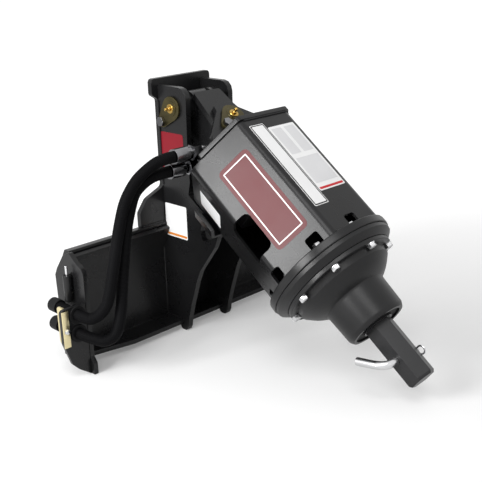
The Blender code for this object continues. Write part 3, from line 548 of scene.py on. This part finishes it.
# Drive panels: thin vinyl pieces lie on the housing's front, left and rear flats, in plain colours
# and without print. They are laid in layers, each cut smaller than the one under it.
def vinyl(name, colour):
    return finish_nodes(name, colour, 0.36, 0.0, 60.0, 0.05, 0.04, 0.26)


def panel(name, place, low, high, layer, material, body, corner=3.0):
    """Thin sheet with round corners on the place's XY plane, from the low to the high corner, in mm."""
    height = 0.1 + 0.2 * layer
    mesh = bmesh.new()
    corners = [(low[0], low[1]), (high[0], low[1]), (high[0], high[1]), (low[0], high[1])]
    mesh.faces.new([mesh.verts.new(mm(*spot, height)) for spot in corners])
    bmesh.ops.bevel(mesh, geom=mesh.verts, offset=corner * MM, segments=4, profile=0.5, affect="VERTICES",
                    material=-1)
    grown = bmesh.ops.extrude_face_region(mesh, geom=mesh.faces)
    raised = [item for item in grown["geom"] if isinstance(item, bmesh.types.BMVert)]
    bmesh.ops.translate(mesh, verts=raised, vec=mm(0, 0, 0.15))
    bmesh.ops.transform(mesh, matrix=place, verts=mesh.verts)
    settle(name, mesh, material, body)


white_vinyl = vinyl("white_vinyl", (0.86, 0.86, 0.86))
grey_vinyl = vinyl("grey_vinyl", (0.70, 0.70, 0.71))
red_vinyl = vinyl("red_vinyl", (0.55, 0.02, 0.025))
dark_red_vinyl = vinyl("dark_red_vinyl", (0.10, 0.005, 0.008))
black_vinyl = vinyl("black_vinyl", (0.012, 0.012, 0.012))
panel_stand = 0.05

front_face = placed(on_drive(0, housing_flat + panel_stand, 0), across, -drive_down, drive_front)
panel("front_panel", front_face, (-17, -356), (55.5, -188), 0, white_vinyl, "drive_head")
panel("front_panel_stripe", front_face, (-14, -353), (52.5, -348), 1, red_vinyl, "drive_head", 1.5)
panel("front_panel_block_1", front_face, (-12, -262), (15, -194), 1, grey_vinyl, "drive_head", 1.5)
panel("front_panel_block_2", front_face, (23, -262), (50, -194), 1, grey_vinyl, "drive_head", 1.5)
panel("front_panel_block_3", front_face, (-12, -338), (50, -273), 1, grey_vinyl, "drive_head", 1.5)
panel("front_strip", front_face, (-57, -383), (-19, -175), 0, white_vinyl, "drive_head")
panel("front_strip_border", front_face, (-55.5, -381.5), (-20.5, -176.5), 1, black_vinyl, "drive_head", 2.4)
panel("front_strip_inside", front_face, (-53, -379), (-23, -179), 2, white_vinyl, "drive_head", 2)

flat_turn = math.radians(60)
side_out = drive_front * math.cos(flat_turn) - across * math.sin(flat_turn)
side_along = -across * math.cos(flat_turn) - drive_front * math.sin(flat_turn)
side_face = placed(mast_pin + side_out * (housing_flat + panel_stand) * MM, side_along, drive_down, side_out)
panel("side_panel", side_face, (-44, 205), (32, 402), 0, dark_red_vinyl, "drive_head", 10)
frame_left, frame_right, frame_head, frame_foot, line_width = -36, 24, 214, 393, 2.4
side_lines = (
    ((frame_left, frame_head), (frame_right, frame_head + line_width)),
    ((frame_left, frame_foot - line_width), (frame_right, frame_foot)),
    ((frame_left, frame_head), (frame_left + line_width, frame_foot)),
    ((frame_right - line_width, frame_head), (frame_right, frame_foot)),
)
for number, (low, high) in enumerate(side_lines):
    panel(f"side_panel_line_{number}", side_face, low, high, 1, white_vinyl, "drive_head", 0.6)

rear_out = -across * math.sin(flat_turn) - drive_front * math.cos(flat_turn)
rear_along = across * math.cos(flat_turn) - drive_front * math.sin(flat_turn)
rear_face = placed(mast_pin + rear_out * (housing_flat + panel_stand) * MM, rear_along, drive_down, rear_out)
panel("rear_panel", rear_face, (-26, 186), (32, 254), 0, white_vinyl, "drive_head")

# Mast panels: two more vinyl pieces on the left cheek, a red one beside the link and a white one
# with an amber stripe above the mount plate.
cheek_red_vinyl = vinyl("cheek_red_vinyl", (0.20, 0.004, 0.012))
amber_vinyl = vinyl("amber_vinyl", (0.75, 0.25, 0.03))
left_cheek = placed(mast_pin - across * (cheek_face + panel_stand) * MM, forward, upward, -across)
panel("cheek_panel", left_cheek, (-41, -280), (27, -207), 0, white_vinyl, "mount_frame")
panel("cheek_panel_stripe", left_cheek, (-39, -277), (25, -272), 1, amber_vinyl, "mount_frame", 1)
panel("cheek_panel_upper", left_cheek, (-42, -138), (28, -52), 0, cheek_red_vinyl, "mount_frame", 5)

# Floor: a seamless pale sheet under the drive. It takes the drive's shadow, and fades to white for
# the camera as it runs back.
floor_mesh = bmesh.new()
bmesh.ops.create_grid(floor_mesh, x_segments=2, y_segments=2, size=12.0,
                      matrix=Matrix.Translation((0, 0, cad_box[0][2] - 0.5 * MM)))
floor_data = bpy.data.meshes.new("floor")
floor_mesh.to_mesh(floor_data)
floor_mesh.free()
floor = bpy.data.objects.new("floor", floor_data)
bpy.context.scene.collection.objects.link(floor)
floor_paint = bpy.data.materials.new("floor_paint")
floor_paint.use_nodes = True
floor_nodes, floor_links = floor_paint.node_tree.nodes, floor_paint.node_tree.links
floor_shader = floor_nodes["Principled BSDF"]
floor_shader.inputs["Base Color"].default_value = (0.82, 0.82, 0.82, 1.0)
floor_shader.inputs["Roughness"].default_value = 0.9
floor_shader.inputs["Emission Color"].default_value = (1.0, 1.0, 1.0, 1.0)
floor_ray = floor_nodes.new("ShaderNodeLightPath")
floor_level = floor_nodes.new("ShaderNodeMath")
floor_level.operation = "MULTIPLY"
floor_links.new(floor_ray.outputs["Is Camera Ray"], floor_level.inputs[0])
floor_view = floor_nodes.new("ShaderNodeCameraData")
floor_fade = floor_nodes.new("ShaderNodeMapRange")
floor_fade.inputs["From Min"].default_value = 1.9
floor_fade.inputs["From Max"].default_value = 3.4
floor_fade.inputs["To Min"].default_value = 0.14
floor_fade.inputs["To Max"].default_value = 0.6
floor_links.new(floor_view.outputs["View Distance"], floor_fade.inputs["Value"])
floor_links.new(floor_fade.outputs["Result"], floor_level.inputs[1])
floor_links.new(floor_level.outputs["Value"], floor_shader.inputs["Emission Strength"])
floor_data.materials.append(floor_paint)

# Light: a white studio round the drive, softer on the surfaces than in their reflections, with a
# large lamp above the front and one to the left that the housing's side mirrors.
world = bpy.data.worlds.new("studio")
world.use_nodes = True
bpy.context.scene.world = world
world_nodes, world_links = world.node_tree.nodes, world.node_tree.links
backdrop = world_nodes["Background"]
backdrop.inputs["Color"].default_value = (1.0, 1.0, 1.0, 1.0)
ray = world_nodes.new("ShaderNodeLightPath")
seen = world_nodes.new("ShaderNodeMath")
seen.operation = "MAXIMUM"
world_links.new(ray.outputs["Is Camera Ray"], seen.inputs[0])
world_links.new(ray.outputs["Is Glossy Ray"], seen.inputs[1])
level = world_nodes.new("ShaderNodeMapRange")
level.inputs["To Min"].default_value = 0.55
level.inputs["To Max"].default_value = 1.0
world_links.new(seen.outputs["Value"], level.inputs["Value"])
world_links.new(level.outputs["Result"], backdrop.inputs["Strength"])


def soft_lamp(name, place, target, size, power):
    data = bpy.data.lights.new(name, "AREA")
    data.size = size
    data.energy = power
    lamp = bpy.data.objects.new(name, data)
    bpy.context.scene.collection.objects.link(lamp)
    lamp.location = place
    lamp.rotation_euler = (Vector(target) - Vector(place)).to_track_quat("-Z", "Y").to_euler()


soft_lamp("key_lamp", (-1.4, -1.4, 2.4), (0.0, -0.2, 0.1), 1.4, 26.0)
soft_lamp("side_lamp", (-1.95, -0.08, 1.0), (-0.05, -0.35, 0.2), 0.85, 37.0)
